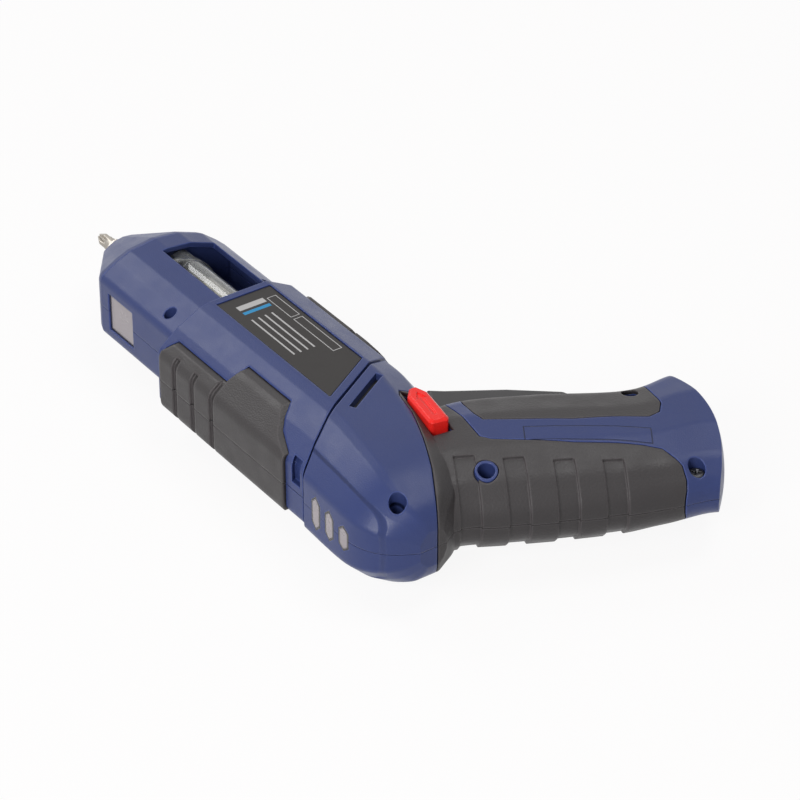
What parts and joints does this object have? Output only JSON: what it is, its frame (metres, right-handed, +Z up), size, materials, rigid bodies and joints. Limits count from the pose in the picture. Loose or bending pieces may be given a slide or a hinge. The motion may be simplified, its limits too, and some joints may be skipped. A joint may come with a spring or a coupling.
{
  "type": "electric screwdriver",
  "caption": "Cordless pistol screwdriver: sliding barrel sleeve over a clear bit drum, geared spindle with hex bit, raked handle with trigger, direction selector and charging inlet.",
  "frame": {"origin": "on the floor under the middle of the tool's bounding box, as it lies on its left side", "axes": "+X along the barrel towards the bit, +Y towards the tool's top, +Z up, towards the tool's right side"},
  "size_m": [0.2274, 0.1182, 0.0395],
  "materials": {
    "blue_plastic": "satin moulded, fine spark texture",
    "soft_grip": "matt soft-touch",
    "clear_plastic": "clear polished",
    "smoke_lens": "translucent satin",
    "red_plastic": "gloss",
    "black_plastic": "satin",
    "label_film": "satin printed film",
    "steel": "ground",
    "bit_steel": "satin nickel",
    "screw_steel": "black zinc",
    "bronze": "sintered",
    "gear_nylon": "matt",
    "gear_case_grey": "matt",
    "zinc_can": "zinc plated",
    "cell_wrap": "shrink film",
    "contact_plate": "nickel plated",
    "board": "solder mask"
  },
  "bodies": {
    "housing": {"housing_right": "blue_plastic", "housing_left": "blue_plastic", "grip_back_right": "soft_grip", "grip_back_left": "soft_grip", "grip_front_right": "soft_grip", "grip_front_left": "soft_grip", "gauge_lenses": "smoke_lens", "housing_screws": "screw_steel", "guide_barrel": "black_plastic", "gear_case": "gear_case_grey", "ring_gear": "steel", "spindle_bush": "bronze", "motor_can": "zinc_can", "motor_end_cap": "black_plastic", "battery_cell": "cell_wrap", "battery_contacts": "contact_plate", "circuit_board": "board", "trigger_switch": "black_plastic", "trigger_pin": "steel", "charge_socket": "black_plastic"},
    "slide_unit": {"slide_right": "blue_plastic", "slide_left": "blue_plastic", "pad_top_right": "soft_grip", "pad_top_left": "soft_grip", "pad_bottom_right": "soft_grip", "pad_bottom_left": "soft_grip", "label_plate": "label_film", "top_window": "smoke_lens", "slide_screws": "screw_steel", "nose_cone": "blue_plastic", "nose_bush": "bronze", "drum_plate": "black_plastic"},
    "drum": {"bit_drum": "clear_plastic", "spare_bits": "bit_steel"},
    "spindle": {"drive_spindle": "steel", "bit_in_use": "bit_steel", "bit_magnet": "zinc_can"},
    "carrier": {"first_carrier": "steel"},
    "rotor_body": {"rotor": "steel"},
    "trigger_lever": {"trigger": "black_plastic"},
    "selector_button": {"selector": "red_plastic"},
    "front_planet_1_body": {"front_planet_1": "steel"},
    "front_planet_2_body": {"front_planet_2": "steel"},
    "front_planet_3_body": {"front_planet_3": "steel"},
    "rear_planet_1_body": {"rear_planet_1": "gear_nylon"},
    "rear_planet_2_body": {"rear_planet_2": "gear_nylon"},
    "rear_planet_3_body": {"rear_planet_3": "gear_nylon"}
  },
  "joints": [
    {"name": "slide_out", "type": "slide", "parent": "housing", "child": "slide_unit", "axis": [1, 0, 0], "range_m": [0, 0.038]},
    {"name": "drum_turn", "type": "hinge", "parent": "slide_unit", "child": "drum", "pos_m": [0.03422, 0.02974, 0.0195], "axis": [1, 0, 0], "continuous": true},
    {"name": "spindle_turn", "type": "hinge", "parent": "housing", "child": "spindle", "pos_m": [0.03422, 0.02974, 0.0195], "axis": [1, 0, 0], "continuous": true},
    {"name": "carrier_turn", "type": "hinge", "parent": "housing", "child": "carrier", "pos_m": [0.03422, 0.02974, 0.0195], "axis": [1, 0, 0], "continuous": true},
    {"name": "rotor_turn", "type": "hinge", "parent": "housing", "child": "rotor_body", "pos_m": [0.03422, 0.02974, 0.0195], "axis": [1, 0, 0], "continuous": true},
    {"name": "trigger_pull", "type": "hinge", "parent": "housing", "child": "trigger_lever", "pos_m": [-0.06372, -0.02857, 0.0195], "axis": [0, 0, 1], "range_deg": [0, 4.5], "stiffness_Nm_per_rad": 0.6, "springref_deg": -8.59},
    {"name": "selector_slide", "type": "slide", "parent": "housing", "child": "selector_button", "axis": [0.9848, -0.1736, 0], "range_m": [-0.0015, 0.0015]},
    {"name": "front_planet_1_turn", "type": "hinge", "parent": "spindle", "child": "front_planet_1_body", "pos_m": [0.01472, 0.03649, 0.0195], "axis": [1, 0, 0], "continuous": true},
    {"name": "front_planet_2_turn", "type": "hinge", "parent": "spindle", "child": "front_planet_2_body", "pos_m": [0.01472, 0.02637, 0.02535], "axis": [1, 0, 0], "continuous": true},
    {"name": "front_planet_3_turn", "type": "hinge", "parent": "spindle", "child": "front_planet_3_body", "pos_m": [0.01472, 0.02637, 0.01366], "axis": [1, 0, 0], "continuous": true},
    {"name": "rear_planet_1_turn", "type": "hinge", "parent": "carrier", "child": "rear_planet_1_body", "pos_m": [0.00572, 0.03649, 0.0195], "axis": [1, 0, 0], "continuous": true},
    {"name": "rear_planet_2_turn", "type": "hinge", "parent": "carrier", "child": "rear_planet_2_body", "pos_m": [0.00572, 0.02637, 0.02535], "axis": [1, 0, 0], "continuous": true},
    {"name": "rear_planet_3_turn", "type": "hinge", "parent": "carrier", "child": "rear_planet_3_body", "pos_m": [0.00572, 0.02637, 0.01366], "axis": [1, 0, 0], "continuous": true}
  ],
  "couplings": [
    {"joint": "carrier_turn", "follows": "spindle_turn", "ratio": 6},
    {"joint": "rotor_turn", "follows": "spindle_turn", "ratio": 36},
    {"joint": "front_planet_1_turn", "follows": "spindle_turn", "ratio": -2.5},
    {"joint": "front_planet_2_turn", "follows": "spindle_turn", "ratio": -2.5},
    {"joint": "front_planet_3_turn", "follows": "spindle_turn", "ratio": -2.5},
    {"joint": "rear_planet_1_turn", "follows": "spindle_turn", "ratio": -15},
    {"joint": "rear_planet_2_turn", "follows": "spindle_turn", "ratio": -15},
    {"joint": "rear_planet_3_turn", "follows": "spindle_turn", "ratio": -15}
  ]
}
